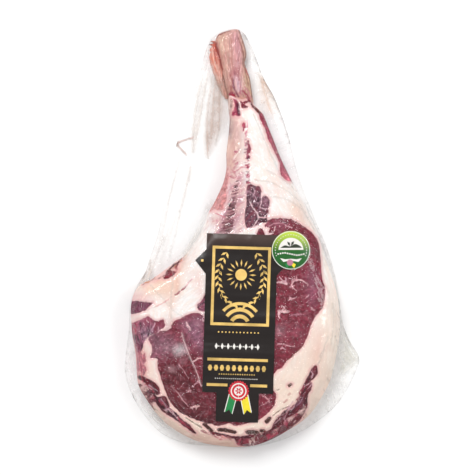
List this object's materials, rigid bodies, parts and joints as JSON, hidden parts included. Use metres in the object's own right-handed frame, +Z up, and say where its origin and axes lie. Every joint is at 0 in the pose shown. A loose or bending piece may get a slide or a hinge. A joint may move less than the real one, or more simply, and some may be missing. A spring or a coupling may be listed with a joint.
{
  "type": "vacuum-packed beef rib roast",
  "caption": "Bone-in beef rib on its long rib bone, raw and sealed in a clear vacuum bag, with a black front label and a round green sticker, lying on its back.",
  "frame": {"origin": "on the table under the middle of the bag's outline", "axes": "+Z up out of the pack's front; +Y along the bone, from the eye of the meat to the bone's end; +X to the right when the pack is seen from above with the bone up"},
  "size_m": [0.2523, 0.4509, 0.0411],
  "materials": {
    "clear_film": "clear glossy shrink film, creased where it leaves the meat",
    "raw_beef": "moist cut muscle and fat seen through film",
    "rib_bone": "scraped bone, moist",
    "black_label": "satin black film label",
    "gold_print": "matt gold print",
    "white_print": "white print",
    "red_print": "red print",
    "green_sticker": "glossy paper, green and white print"
  },
  "bodies": {
    "root": {"vacuum_bag": "clear_film", "front_label": "black_label", "round_sticker": "green_sticker"}
  },
  "joints": []
}
